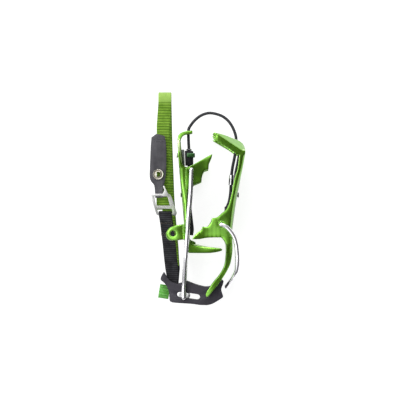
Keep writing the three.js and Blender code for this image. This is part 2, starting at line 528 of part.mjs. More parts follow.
function strap() {
  const near = BAR_Z - PLY;
  const green = [[-27, -74, -14.7], [-27.4, -66, -13.9], [-28.2, -52, -12], [-30.4, -28, -LOOP_R],
    ...between([-30.4, -28, -LOOP_R], [-32.6, 0, -LOOP_R], 3).slice(1),
    ...between([-32.6, 0, -LOOP_R], [-34.8, 60, -LOOP_R], 5), [-34.8, 60, -LOOP_R],
    ...turn(-35.8, LOOP_TOP, 0, LOOP_R, -90, 90, 12), [-37.6, 80, near], [-37.6, 20, near], [-37.8, 2, 9.2],
    ...turn(...BUCKLE_BAR, SLIDE_Z, SLIDE_PLY, 270, 90, 8), [-37.8, -4, 12.7], [-37.8, 1, 14.2]];
  add("strap_webbing", ribbon(green, WEB_WIDTH, WEB), 0x4e8a1e);
  const lower = BAR_Z - (BUCKLE_BAR[1] - LOWER_BAR_Y) * Math.tan(BUCKLE_TILT);
  const end = [[STRAP_PIN[0], -99.5, STRAP_PIN_Z, 8], [...STRAP_PIN, STRAP_PIN_Z, 11]];
  const nearBlack = [...end, [-28.2, -76, STRAP_PIN_Z], [-29.4, -66, 15.8], [-31, -50, 14.4],
    [-33.4, -30, lower + PLY],
    ...turn(-35.4, LOWER_BAR_Y, lower, PLY, 90, -90, 8), [-33.8, -27, lower - PLY]];
  const farBlack = [...end.map(([x, y, z, w]) => [x, y, -z, w]), [-26.6, -76, -STRAP_PIN_Z],
    [-27.6, -66, -16.3], [-28.6, -52, -14.5], [-30.6, -28.6, -13.5]];
  const eye = rod([...STRAP_PIN, -30], [...STRAP_PIN, 30], 1.8, 12);
  black("strap_lower_near", geometryOf(solid(ribbon(nearBlack, WEB_WIDTH, WEB)).subtract(eye)));
  black("strap_lower_far", geometryOf(solid(ribbon(farBlack, WEB_WIDTH, WEB)).subtract(eye)));
  for (const [name, side] of [["near", 1], ["far", -1]]) {
    black(`strap_pin_${name}`, geometryOf(rod([...STRAP_PIN, side * 11], [...STRAP_PIN, side * 18.7], 1.5,
      12)));
  }
  const tab = [[-46.4, 0.8], [-38, 0.8], ...smooth([[-37.8, 6.5], [-37, 13.5], [-35.4, 21], [-34.3, 31],
    [-34, 50],
    [-34.6, 62]]), [-36, 68.6], [-45, 71], [-50.4, 67],
    ...smooth([[-51.2, 58], [-52.2, 32], [-52.2, 23], [-50.6, 18.6],
    [-47.4, 14.4], [-46.6, 7]])];
  const eyelet = [-43, 26.5];
  const plate = slab(tab, BAR_Z + PLY - 0.8, BAR_Z + PLY + 0.8)
    .subtract(rod([...eyelet, 0], [...eyelet, 40], 4));
  add("strap_tab", geometryOf(plate), 0x4a494d);
  const profile = [[2.6, -1.9], [5.4, -1.9], [5.4, -1.2], [3.6, -1.2], [3.6, 1.2], [5.9, 1.2], [5.9, 1.9],
    [5, 2.4],
    [3.2, 2.4], [2.6, 1.9], [2.6, -1.9]].map((p) => new THREE.Vector2(...p));
  const ring = new THREE.LatheGeometry(profile, 20).rotateX(Math.PI / 2);
  steel("strap_eyelet", geometryOf(solid(ring.translate(...eyelet, MID + BAR_Z + PLY))));
}

function buckle() {
  const frame = [[-50.2, 5.2], [-32, 5.2],
    ...smooth([[-29.6, 3.8], [-27, -1.5], [-25.2, -8], [-22.6, -16]], 2), [-23.6, -18.2],
    [-43.4, -18.2], ...smooth([[-45, -17.4], [-47.2, -11], [-49.6, -1.6], [-50.8, 4]], 2)];
  const upper = [[-47.4, 2.8], [-34, 2.8], [-32.6, 1.6], [-31.6, -2], [-30, -7.8], [-45.4, -7.8]];
  const lower = [[-44.6, -10.9], [-28.4, -10.9], [-27, -15.6], [-42.9, -15.6]];
  const half = BUCKLE_SHEET / 2;
  const windows = [upper, lower].map((outline) => buckleSlab(outline, -5, 5));
  const plate = windows.reduce((rest, w) => rest.subtract(w), buckleSlab(frame, -half, half));
  steel("buckle_frame", geometryOf(plate));
  const slide = [BUCKLE_BAR[1], SLIDE_Z];
  steel("buckle_slide_bar", geometryOf(rod([-46, ...slide], [-29.4, ...slide], 0.9, 12)));
  const release = [[-37.6, 14.2], [-36.2, 14.6], [-33.4, 8.8], [-31.6, 5], [-31.4, 3], [-38.2, 3], [-38, 6],
    [-36.2, 9.8]];
  steel("buckle_release", geometryOf(buckleSlab(release, half + 0.3, half + 1.7)));
}

frontFrame();
frontFittings();
toeBail();
heelFrame();
heelFittings();
cordLock();
cords();
heelBail();
adjuster();
heelLever();
strap();
buckle();

export default group;
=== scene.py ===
"""A folded aluminium crampon lying on its side: looks around the fixed CAD frame."""
import math

import bmesh
import bpy
import numpy as np
from mathutils import Matrix, Vector


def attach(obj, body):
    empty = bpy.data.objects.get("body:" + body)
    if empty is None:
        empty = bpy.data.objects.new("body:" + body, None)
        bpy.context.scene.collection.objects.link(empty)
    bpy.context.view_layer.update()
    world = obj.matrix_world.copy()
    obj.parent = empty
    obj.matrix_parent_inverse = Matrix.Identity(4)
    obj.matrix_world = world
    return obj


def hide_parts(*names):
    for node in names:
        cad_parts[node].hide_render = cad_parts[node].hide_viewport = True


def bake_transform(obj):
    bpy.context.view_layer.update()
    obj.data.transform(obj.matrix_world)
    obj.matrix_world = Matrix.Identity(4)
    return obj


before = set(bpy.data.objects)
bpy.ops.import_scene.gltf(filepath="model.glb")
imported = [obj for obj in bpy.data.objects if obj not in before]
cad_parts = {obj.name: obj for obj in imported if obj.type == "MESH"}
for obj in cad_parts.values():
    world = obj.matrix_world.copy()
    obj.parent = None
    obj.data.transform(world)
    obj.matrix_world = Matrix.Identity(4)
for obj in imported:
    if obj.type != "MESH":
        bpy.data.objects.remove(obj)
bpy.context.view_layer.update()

# ---------------------------------------------------------------- sizes, in mm unless they say otherwise
MM = 0.001
MID = 43.4  # height of the crampon's mid-plane above the floor
HALF_WIDTH = MID  # it lies on its side, so half of its width is below the mid-plane
FLANGE = 38  # outer face of a flange, from the mid-plane
CROWN = (33.6, 34.8)  # where a skin turns from plate to crowned flange, from the mid-plane
VOXEL = 0.7  # of the sections' skins
BEND_R = 5.5  # outside radius of the bend between plate and flange
# The bend's line on each section, in the plane.
FRONT_BEND = [(37.6, -44), (37.6, -38), (39.6, -22), (42.5, -2), (45.8, 15), (50, 37), (52.2, 50)]
HEEL_BEND = [(-14.6, -28), (-15.2, -21), (-17.6, 6), (-20, 31.5), (-20.6, 38)]
HEEL_LIP = (31, 66)  # the ends of the heel section's upright lip, in Y
CORD_D = 3.2
BRAID_STRANDS = 8  # that turn each way
BRAID_PITCH = 2.5  # along the cord, between strands that turn the same way
BRAID_HEIGHT = 0.07
HEEL_WIRE_R = 2.5
TOE_WIRE_R = 2.3
PIN_R = 1.9  # the bails' turned-in ends
PIN_END = 31.5  # how near they come to the mid-plane, in the sections
LEVER_PIN_END = 14.5  # and in the lever
LEVER_WIRE_Z = 25.0  # the heel bail's wires beside the lever, from the mid-plane
# Where the bails turn in the sections, and the lever on the heel bail.
HEEL_PIVOT = (-6.6, 31)
TOE_PIVOT = (25.5, -28.5)
LEVER_PIVOT = (-15.085, -105.479)
WEB_WIDTH = 14.4
WEB = 1.6  # webbing's thickness
BAR_Z = 14  # the buckle's middle bar, from the mid-plane
PLY = 2.6  # from a bar's middle to the middle of the webbing round it
LOOP_R = BAR_Z - PLY  # of the strap's upper turn
LOOP_TOP = 105.2  # where the strap's upper turn starts, in Y
STRAP_PIN = (-26.5, -95)
STRAP_PIN_Z = 17.2  # the black webbings at their pins, from the mid-plane
BUCKLE_BAR = (-37.8, -9.5)
LOWER_BAR = (-35.4, -16.9)
BUCKLE_TILT = math.radians(21)
LOWER_Z = BAR_Z - (BUCKLE_BAR[1] - LOWER_BAR[1]) * math.tan(BUCKLE_TILT)
SLIDE_Z = 9.9  # the slide bar, from the mid-plane
SLIDE_PLY = 2  # from its middle to the middle of the webbing round it
# The near black webbing's slope below the buckle.
NEAR_SLOPE = ((-31, -50, 14.4), (-33.4, -30, LOWER_Z + PLY))
EYELET = (-43, 26.5)
GREEN_PITCH = 2.95  # between the webbing's cross ribs
BLACK_PITCH = 2.2
BAND_STEP = 0.3  # between the webbing's stations

# View: the picture's width at the mid-plane and the camera's distance from it, in metres, the camera's
# lean, and the place in the plane that it looks at.
VIEW_WIDTH = 0.440
VIEW_DISTANCE = 3.4
VIEW_LEAN = math.radians(-0.6)
VIEW_CENTRE = (2.75, -1.4)
# Sky: level by height (the direction's Z), times a gain by the dot product of the direction and
# SKY_SIDE. SKY_GAIN is the gain at the two ends of SKY_REACH.
SKY = [(0.0, 0.05), (0.25, 0.1), (0.55, 0.6), (0.85, 0.75), (0.96, 0.55), (1.0, 0.5)]
SKY_SIDE = (-2.4, 1.0, 0)
SKY_REACH = (-0.9, 1.1)
SKY_GAIN = (0.2, 2.6)


def at(x, y, z=0.0):
    """A point in metres, from mm in the plane and mm from the mid-plane."""
    return Vector((x * MM, y * MM, (MID + z) * MM))


# ---------------------------------------------------------------- camera, floor and light
def camera():
    data = bpy.data.cameras.new("camera")
    data.lens = data.sensor_width * VIEW_DISTANCE / VIEW_WIDTH
    data.clip_end = 20
    obj = bpy.data.objects.new("camera", data)
    away = Vector((0, math.sin(VIEW_LEAN), math.cos(VIEW_LEAN)))
    obj.matrix_world = Matrix.Translation(at(*VIEW_CENTRE) + away * VIEW_DISTANCE) @ Matrix.Rotation(
        -VIEW_LEAN, 4, "X")
    bpy.context.scene.collection.objects.link(obj)
    bpy.context.scene.camera = obj


def area_light(name, place, size, power):
    data = bpy.data.lights.new(name, "AREA")
    data.shape = "RECTANGLE"
    data.size, data.size_y = size
    data.energy = power
    obj = bpy.data.objects.new(name, data)
    obj.location = place
    obj.rotation_euler = (at(0, 0) - Vector(place)).to_track_quat("-Z", "Y").to_euler()
    bpy.context.scene.collection.objects.link(obj)


def sky():
    """Soft light by height, strongest from one side and fading towards the other."""
    world = bpy.data.worlds.new("studio")
    world.use_nodes = True
    nodes, links = world.node_tree.nodes, world.node_tree.links
    way = nodes.new("ShaderNodeTexCoord").outputs["Generated"]
    split = nodes.new("ShaderNodeSeparateXYZ")
    links.new(way, split.inputs["Vector"])
    ramp = nodes.new("ShaderNodeValToRGB")
    ramp.color_ramp.interpolation = "EASE"
    stops = ramp.color_ramp.elements
    middle = [stops.new(place) for place, _ in SKY[1:-1]]
    for stop, (place, level) in zip([stops[0], *middle, stops[-1]], SKY):
        stop.position = place
        stop.color = (level, level, level, 1)
    links.new(split.outputs["Z"], ramp.inputs["Fac"])
    side = nodes.new("ShaderNodeVectorMath")
    side.operation = "DOT_PRODUCT"
    links.new(way, side.inputs[0])
    side.inputs[1].default_value = SKY_SIDE
    gain = nodes.new("ShaderNodeMapRange")
    gain.interpolation_type = "SMOOTHSTEP"
    links.new(side.outputs["Value"], gain.inputs["Value"])
    for key, value in zip(("From Min", "From Max", "To Min", "To Max"), (*SKY_REACH, *SKY_GAIN)):
        gain.inputs[key].default_value = value
    strength = nodes.new("ShaderNodeMath")
    strength.operation = "MULTIPLY"
    links.new(ramp.outputs["Color"], strength.inputs[0])
    links.new(gain.outputs["Result"], strength.inputs[1])
    links.new(strength.outputs["Value"], nodes["Background"].inputs["Strength"])
    nodes["Background"].inputs["Color"].default_value = (0.97, 0.98, 1, 1)
    bpy.context.scene.world = world


def floor():
    """A white sheet that glows a little, wide enough to fill every view."""
    mesh = bpy.data.meshes.new("floor")
    mesh.from_pydata([(-4, -4, 0), (4, -4, 0), (4, 4, 0), (-4, 4, 0)], [], [(0, 1, 2, 3)])
    obj = bpy.data.objects.new("floor", mesh)
    bpy.context.scene.collection.objects.link(obj)
    paint = Paint("floor", (0.3, 0.3, 0.3), 0.9)
    paint.glow((1, 1, 1), 0.86)
    mesh.materials.append(paint.material)


def studio():
    """Sky, two lights and a white floor."""
    sky()
    bpy.context.scene.view_settings.view_transform = "Standard"
    area_light("top_softbox", (0.1, 1.1, 0.6), (1.0, 0.4), 9)
    area_light("side_softbox", (-0.9, 0.2, 0.9), (1.2, 0.3), 6)
    floor()


# ---------------------------------------------------------------- materials
class Paint:
    """A principled material, with the node chains that the finishes below share."""

    def __init__(self, name, colour, roughness, metallic=0.0):
        self.material = bpy.data.materials.new(name)
        self.material.use_nodes = True
        self.tree = self.material.node_tree
        self.shader = self.tree.nodes["Principled BSDF"]
        self.put("Base Color", (*colour, 1))
        self.put("Roughness", roughness)
        self.put("Metallic", metallic)
        self.normal = None

    def put(self, socket, value):
        """Links a node's output to one of the shader's inputs, or sets its value."""
        if isinstance(value, bpy.types.NodeSocket):
            self.tree.links.new(value, self.shader.inputs[socket])
        else:
            self.shader.inputs[socket].default_value = value

    def node(self, kind, inputs=None, **settings):
        node = self.tree.nodes.new(kind)
        for key, value in settings.items():
            setattr(node, key, value)
        for key, value in (inputs or {}).items():
            if isinstance(value, bpy.types.NodeSocket):
                self.tree.links.new(value, node.inputs[key])
            else:
                node.inputs[key].default_value = value
        return node

    def place(self, stretch=(1, 1, 1)):
        """Coordinates in mm on the piece, which move with it."""
        source = self.node("ShaderNodeTexCoord").outputs["Object"]
        scale = tuple(s / MM for s in stretch)
        return self.node("ShaderNodeMapping", {"Vector": source, "Scale": scale}).outputs["Vector"]

    def sewn(self, part):
        """A woven piece's own coordinate, in mm: 0 across or round it, 1 along it."""
        source = self.node("ShaderNodeUVMap", uv_map="weave").outputs["UV"]
        return self.node("ShaderNodeSeparateXYZ", {"Vector": source}).outputs[part]

    def noise(self, scale, detail, stretch=(1, 1, 1)):
        inputs = {"Vector": self.place(stretch), "Scale": scale, "Detail": detail}
        return self.node("ShaderNodeTexNoise", inputs).outputs["Fac"]

    def cells(self, scale):
        inputs = {"Vector": self.place(), "Scale": scale}
        return self.node("ShaderNodeTexVoronoi", inputs, feature="F1").outputs["Distance"]

    def calc(self, operation, a, b=0.0):
        return self.node("ShaderNodeMath", {0: a, 1: b}, operation=operation).outputs["Value"]

    def wave(self, coordinate, pitch, phase=0.0):
        """From 0 to 1 and back, once for each pitch of a coordinate."""
        turn = self.calc("MULTIPLY", coordinate, 2 * math.pi / pitch)
        value = self.calc("COSINE", self.calc("ADD", turn, phase))
        return self.range(value, -1, 1)

    def range(self, value, low, high, new_low=0.0, new_high=1.0):
        inputs = {"Value": value, "From Min": low, "From Max": high, "To Min": new_low, "To Max": new_high}
        return self.node("ShaderNodeMapRange", inputs).outputs["Result"]

    def blend(self, fac, a, b):
        """A mix of two colours or outputs: a where fac is 0, b where it is 1."""
        a, b = (tone if isinstance(tone, bpy.types.NodeSocket) else (*tone, 1) for tone in (a, b))
        return self.node("ShaderNodeMix", {0: fac, 6: a, 7: b}, data_type="RGBA").outputs[2]

    def edges(self, low, high):
        """From 0 to 1 between two amounts of pointiness: 0.5 is flat, more is an edge, less a groove."""
        pointy = self.node("ShaderNodeNewGeometry").outputs["Pointiness"]
        return self.range(pointy, low, high)

    def bump(self, height, distance_mm, strength):
        """Adds relief to the relief that the paint has already."""
        inputs = {"Height": height, "Distance": distance_mm * MM, "Strength": strength}
        if self.normal is not None:
            inputs["Normal"] = self.normal
        self.normal = self.node("ShaderNodeBump", inputs).outputs["Normal"]
        self.put("Normal", self.normal)
        self.put("Coat Normal", self.normal)

    def glow(self, colour, strength):
        self.put("Emission Color", (*colour, 1))
        self.put("Emission Strength", strength)


def anodised(name, colour, worn, roughness=0.3, bare=None):
    """Anodised aluminium: satin, cloudy, slightly wavy from the press, and paler on worn edges and
    where the bare attribute says."""
    paint = Paint(name, colour, roughness, 0.9)
    cloud = paint.range(paint.noise(0.05, 2), 0.3, 0.7)
    tone = paint.blend(cloud, tuple(c * 0.86 for c in colour), tuple(min(1, c * 1.14) for c in colour))
    patches = paint.range(paint.noise(0.35, 4), 0.4, 0.6, 0.1, 0.7)
    rub = paint.calc("MULTIPLY", paint.edges(0.53, 0.6), patches)
    if bare:
        cut = paint.node("ShaderNodeAttribute", attribute_name=bare).outputs["Fac"]
        rub = paint.calc("MAXIMUM", paint.calc("MULTIPLY", rub, 0.5), paint.calc("MULTIPLY", cut, 0.9))
    paint.put("Base Color", paint.blend(rub, tone, worn))
    paint.put("Roughness", paint.range(paint.noise(0.3, 3), 0.3, 0.7, roughness - 0.04, roughness + 0.05))
    paint.put("Coat Weight", 1.0)
    paint.put("Coat IOR", 1.6)
    paint.put("Coat Roughness", 0.14)
    paint.bump(paint.noise(0.024, 0), 24, 1.0)
    paint.bump(paint.noise(3.5, 3), 0.01, 0.25)
    return paint.material


def bare_metal(name, colour, roughness, grain=(1, 1, 1), marked=0.4, metallic=1.0):
    """Bare metal, drawn or polished, with fine marks along the grain, faint or strong."""
    paint = Paint(name, colour, roughness, metallic)
    marks = paint.noise(2.0, 4, grain)
    paint.put("Roughness", paint.range(marks, 0.3, 0.7, roughness - 0.07, roughness + 0.09))
    stain = paint.range(paint.noise(0.12, 3), 0.35, 0.7)
    tone = paint.blend(stain, colour, tuple(c * 0.86 for c in colour))
    dull = paint.range(marks, 0.55, 0.72, 0, 0.75 * marked)
    paint.put("Base Color", paint.blend(dull, tone, tuple(c * 0.7 for c in colour)))
    paint.bump(marks, 0.02, marked)
    return paint.material


def moulded(name, colour, roughness, scuff, gloss=0.3, groove_shade=0.0):
    """Moulded plastic: spark-eroded texture, faint flow marks, scuffed edges, and painted shade that darkens
    its hollows and grooves by an amount from 0 to 1."""
    paint = Paint(name, colour, roughness)
    flow = paint.range(paint.noise(0.08, 3), 0.3, 0.7)
    tone = paint.blend(flow, tuple(c * 0.85 for c in colour), tuple(c * 1.2 for c in colour))
    patches = paint.range(paint.noise(0.5, 4), 0.4, 0.65, 0, 0.8)
    rub = paint.calc("MULTIPLY", paint.edges(0.52, 0.62), patches)
    # painted shade: hollows, where the surface is less pointy than flat, are darkened by the given amount
    tone = paint.blend(paint.edges(0.5, 0.45), tone, tuple(c * (1 - groove_shade) for c in colour))
    paint.put("Base Color", paint.blend(rub, tone, scuff))
    paint.put("Roughness", paint.range(paint.noise(0.4, 3), 0.3, 0.7, roughness - 0.05, roughness + 0.08))
    paint.put("Specular IOR Level", gloss)
    paint.bump(paint.noise(2.6, 2), 0.04, 0.3)
    return paint.material


def webbing_paint(name, colour, light, pitch, fold=None):
    """Ribbed webbing: yarns along the ribs, painted shade that darkens the grooves, and a fuzzy sheen. Round
    a fold, given by its middle and its reach each way, the ribs are stretched out and a painted highlight
    makes the face paler."""
    paint = Paint(name, colour, 0.72)
    across, along = paint.sewn(0), paint.sewn(1)
    rib = paint.wave(along, pitch, math.pi)
    yarn = paint.wave(across, 0.62)
    pick = paint.wave(paint.calc("ADD", along, paint.calc("MULTIPLY", across, 0.5)), 0.55)
    worn = paint.range(paint.noise(0.15, 4), 0.3, 0.7)
    tone = paint.blend(worn, tuple(c * 0.82 for c in colour), light)
    # painted shade: the grooves between the ribs are darkened towards this colour
    dark = tuple(c * 0.35 for c in colour)
    groove_shade = paint.range(rib, 0.0, 0.45)
    if fold:
        off = paint.calc("ABSOLUTE", paint.calc("SUBTRACT", along, fold[0]))
        flat = paint.range(off, fold[1], fold[1] + 5, 1.0, 0.0)
        groove_shade = paint.calc("MAXIMUM", groove_shade, flat)
        # painted highlight: round the fold the face is made paler, as where the top turn catches the light
        tone = paint.blend(paint.calc("MULTIPLY", flat, 0.6), tone, (0.42, 0.62, 0.16))
    tone = paint.blend(groove_shade, dark, tone)
    thread = paint.range(paint.calc("MULTIPLY", yarn, pick), 0.0, 0.6, 0.55, 1.0)
    paint.put("Base Color", paint.blend(thread, tuple(c * 0.55 for c in colour), tone))
    paint.put("Specular IOR Level", 0.15)
    paint.put("Sheen Weight", 0.02 if colour[1] < 0.05 else 0.12)
    paint.bump(yarn, 0.12, 0.6)
    paint.bump(pick, 0.06, 0.4)
    return paint.material


def cord_paint():
    """A braided sheath: crossing strands, with a few paler tracer yarns."""
    paint = Paint("cord_sheath", (0.016, 0.016, 0.02), 0.6)
    around, along = paint.sewn(0), paint.sewn(1)
    strands = math.pi * CORD_D / BRAID_STRANDS
    left = paint.wave(paint.calc("ADD", around, along), strands)
    right = paint.wave(paint.calc("SUBTRACT", around, along), strands)
    over = paint.calc("MAXIMUM", left, right)
    tone = paint.blend(paint.range(over, 0.5, 1.0), (0.006, 0.006, 0.008), (0.045, 0.045, 0.052))
    flecks = paint.range(paint.noise(0.9, 3), 0.56, 0.66, 0, 0.4)
    paint.put("Base Color", paint.blend(flecks, tone, (0.12, 0.12, 0.13)))
    paint.put("Specular IOR Level", 0.3)
    paint.bump(over, 0.15, 0.7)
    return paint.material


def leather_paint():
    """Coated charcoal leather: pebbled grain, cloudy tone and rubbed edges."""
    colour = (0.050, 0.048, 0.054)
    paint = Paint("tab_leather", colour, 0.5)
    cloud = paint.range(paint.noise(0.1, 4), 0.3, 0.7)
    tone = paint.blend(cloud, tuple(c * 0.8 for c in colour), tuple(c * 1.35 for c in colour))
    patches = paint.range(paint.noise(0.5, 3), 0.4, 0.6, 0.2, 0.9)
    rub = paint.calc("MULTIPLY", paint.edges(0.52, 0.6), patches)
    paint.put("Base Color", paint.blend(rub, tone, (0.16, 0.155, 0.165)))
    paint.put("Roughness", paint.range(paint.noise(0.6, 4), 0.3, 0.7, 0.42, 0.6))
    paint.put("Specular IOR Level", 0.3)
    paint.bump(paint.cells(1.4), 0.12, 0.5)
    paint.bump(paint.noise(4, 3), 0.05, 0.5)
    return paint.material


def thread_paint(name, colour):
    """Sewing thread: two twisted plies."""
    paint = Paint(name, colour, 0.6)
    around, along = paint.sewn(0), paint.sewn(1)
    twist = paint.wave(paint.calc("ADD", around, along), 0.5)
    paint.put("Base Color", paint.blend(twist, tuple(c * 0.45 for c in colour), colour))
    paint.put("Sheen Weight", 0.3)
    paint.bump(twist, 0.05, 0.6)
    return paint.material


# ---------------------------------------------------------------- geometry
def through(points, step):
    """Points, in mm, of a centripetal curve through the given ones."""
    p = [Vector(q) for q in points]
    p = [2 * p[0] - p[1], *p, 2 * p[-1] - p[-2]]
    run = []
    for i in range(1, len(p) - 2):
        a, b, c, d = p[i - 1:i + 3]
        t0 = 0.0
        t1 = t0 + (b - a).length ** 0.5
        t2 = t1 + (c - b).length ** 0.5
        t3 = t2 + (d - c).length ** 0.5
        count = max(1, math.ceil((c - b).length / step))
        for k in range(count):
            t = t1 + (t2 - t1) * k / count
            ab = a.lerp(b, (t - t0) / (t1 - t0))
            bc = b.lerp(c, (t - t1) / (t2 - t1))
            cd = c.lerp(d, (t - t2) / (t3 - t2))
            abc = ab.lerp(bc, (t - t0) / (t2 - t0))
            bcd = bc.lerp(cd, (t - t1) / (t3 - t1))
            run.append(abc.lerp(bcd, (t - t1) / (t2 - t1)))
    return [*run, p[-2]]


def lengths(points):
    """Distance along a run at each of its points."""
    run = [0.0]
    for a, b in zip(points, points[1:]):
        run.append(run[-1] + (b - a).length)
    return run


def tangents(points):
    last = len(points) - 1
    return [(points[min(i + 1, last)] - points[max(i - 1, 0)]).normalized() for i in range(last + 1)]


class Shell:
    """Closed skins made of rings of points, in mm from the mid-plane, gathered into one mesh."""

    def __init__(self):
        self.verts, self.faces, self.uvs = [], [], []

    def rings(self, rings, across, along):
        """A closed skin; across and along are each point's and each ring's woven coordinate."""
        first, count = len(self.verts), len(rings[0])
        for ring in rings:
            self.verts += [at(*q) for q in ring]
        for i in range(len(rings) - 1):
            for k in range(count):
                n = (k + 1) % count
                low, high = first + i * count, first + (i + 1) * count
                self.faces.append((low + k, low + n, high + n, high + k))
                wide = across[k + 1]
                self.uvs += [(across[k], along[i]), (wide, along[i]), (wide, along[i + 1]),
                             (across[k], along[i + 1])]
        last = first + (len(rings) - 1) * count
        for cap, v in ((range(first + count - 1, first - 1, -1), along[0]),
                       (range(last, last + count), along[-1])):
            self.faces.append(tuple(cap))
            self.uvs += [(across[(q - first) % count], v) for q in cap]

    def tube(self, points, radius, sides, texture=None):
        """A round bar along a run of points, with rounded ends; texture(angle, along) adds height."""
        ways = tangents(points)
        normal = ways[0].orthogonal().normalized()
        run = lengths(points)
        last = len(points) - 1
        stations = []
        for k in (4, 3, 2, 1):
            turn = math.radians(k * 20)
            stations.append((points[0] - ways[0] * radius * math.sin(turn), math.cos(turn), 0))
        stations += [(p, 1.0, i) for i, p in enumerate(points)]
        for k in (1, 2, 3, 4):
            turn = math.radians(k * 20)
            stations.append((points[last] + ways[last] * radius * math.sin(turn), math.cos(turn), last))
        rings, along = [], []
        for centre, share, i in stations:
            normal = (normal - ways[i] * normal.dot(ways[i])).normalized()
            side = ways[i].cross(normal)
            ring = []
            for k in range(sides):
                angle = 2 * math.pi * k / sides
                r = radius * share + (texture(angle, run[i]) * share if texture else 0)
                ring.append(centre + (normal * math.cos(angle) + side * math.sin(angle)) * r)
            rings.append(ring)
            along.append(run[i] + (centre - points[i]).dot(ways[i]))
        self.rings(rings, [2 * math.pi * radius * k / sides for k in range(sides + 1)], along)

    def band(self, points, widths, height):
        """A flat band along a run in YZ, its width along X; height(along, share) is its half thickness."""
        run, ways = lengths(points), tangents(points)
        columns = 15
        rings = []
        for p, way, width, s in zip(points, ways, widths, run):
            flat = Vector((0, way.y, way.z)).normalized()
            normal = Vector((0, -flat.z, flat.y))
            half = width / 2 - WEB / 2
            shares = [-1 + 2 * k / (columns - 1) for k in range(columns)]
            top = [p + Vector((q * half, 0, 0)) + normal * height(s, q) for q in shares]
            low = [p + Vector((q * half, 0, 0)) - normal * height(s, q) for q in reversed(shares)]
            right, left = [], []
            for k in (1, 2, 3, 4):
                turn = math.radians(90 - 36 * k)
                out = Vector((WEB / 2 * math.cos(turn), 0, 0))
                up = normal * height(s, 1) * math.sin(turn)
                right.append(p + Vector((half, 0, 0)) + out + up)
                left.append(p - Vector((half, 0, 0)) - out - up)
            rings.append([*low, *left, *top, *right])
        across = [0.0]
        for a, b in zip(rings[0], [*rings[0][1:], rings[0][0]]):
            across.append(across[-1] + (b - a).length)
        self.rings(rings, across, run)

    def object(self, name, paint, sharp=40):
        mesh = bpy.data.meshes.new(name)
        mesh.from_pydata([tuple(v) for v in self.verts], [], self.faces)
        layer = mesh.uv_layers.new(name="weave")
        layer.data.foreach_set("uv", [c for uv in self.uvs for c in uv])
        mesh.materials.append(paint)
        return dressed(bpy.data.objects.new(name, mesh), sharp)


def dressed(obj, sharp):
    """Links a new piece, turns its faces outwards and shades it smooth below the sharp angle."""
    bpy.context.scene.collection.objects.link(obj)
    mesh = obj.data
    bm = bmesh.new()
    bm.from_mesh(mesh)
    bmesh.ops.recalc_face_normals(bm, faces=bm.faces)
    bm.to_mesh(mesh)
    bm.free()
    mesh.shade_smooth()
    mesh.set_sharp_from_angle(angle=math.radians(sharp))
    return obj


def bevelled(obj, width, segments):
    """Rounds a piece's edges, and keeps the result as its mesh."""
    bevel = obj.modifiers.new("edges", "BEVEL")
    bevel.width = width * MM
    bevel.segments = segments
    bevel.limit_method = "ANGLE"
    bevel.angle_limit = math.radians(28)
    return kept(obj)


def refined(node, paint, width, segments=2):
    """A copy of a CAD node with rounded edges, which stands for it."""
    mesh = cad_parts[node].data.copy()
    mesh.name = f"{node}_piece"
    mesh.materials.clear()
    mesh.materials.append(paint)
    bm = bmesh.new()
    bm.from_mesh(mesh)
    bmesh.ops.remove_doubles(bm, verts=bm.verts, dist=0.02 * MM)
    bmesh.ops.dissolve_limit(bm, angle_limit=math.radians(1), verts=bm.verts, edges=bm.edges)
    for face in bm.faces:
        face.material_index = 0
    bm.to_mesh(mesh)
    bm.free()
    obj = bpy.data.objects.new(f"{node}_piece", mesh)
    bpy.context.scene.collection.objects.link(obj)
    return bevelled(obj, width, segments)


def kept(obj, sharp=45):
    """Makes a piece's modifiers part of its mesh."""
    bpy.context.view_layer.update()
    mesh = bpy.data.meshes.new_from_object(obj.evaluated_get(bpy.context.evaluated_depsgraph_get()))
    mesh.name = obj.name
    obj.modifiers.clear()
    obj.data = mesh
    mesh.shade_smooth()
    mesh.set_sharp_from_angle(angle=math.radians(sharp))
    return obj


def soft_step(value, low, high):
    t = np.clip((value - low) / (high - low), 0, 1)
    return t * t * (3 - 2 * t)


def skin(mesh, name, *modifiers):
    """A new mesh made from another by modifiers, given as (type, settings) pairs."""
    obj = bpy.data.objects.new(name, mesh)
    bpy.context.scene.collection.objects.link(obj)
    for kind, settings in modifiers:
        modifier = obj.modifiers.new(kind, kind)
        for key, value in settings.items():
            setattr(modifier, key, value)
    return kept(obj, 180)


def coordinates(mesh):
    """A mesh's points in mm, with Z from the mid-plane."""
    flat = np.empty(len(mesh.vertices) * 3, np.float32)
    mesh.vertices.foreach_get("co", flat)
    return flat.reshape(-1, 3).astype(float) / MM - (0, 0, MID)


def rounded_bend(place, bend, outwards):
    """Moves the points near a bend's line on to its radius, which fades out at both ends of the line."""
    ys, xs = zip(*sorted((y, x) for x, y in bend))
    inset = outwards * (np.interp(place[:, 1], ys, xs) - place[:, 0])
    reach = soft_step(place[:, 1], ys[0], ys[0] + 6) * soft_step(-place[:, 1], -ys[-1], 5 - ys[-1])
    radius = BEND_R * reach + 0.01
    across, down = radius - inset, radius - (FLANGE - abs(place[:, 2]))
    far = np.hypot(across, down)
    outer = (across > 0) & (down > 0) & (far > radius) & (reach > 0)
    share = np.where(outer, radius / np.maximum(far, 1e-6), 1)
    place[:, 0] += np.where(outer, outwards * across * (share - 1), 0)
    place[:, 2] += np.where(outer, np.sign(place[:, 2]) * down * (share - 1), 0)


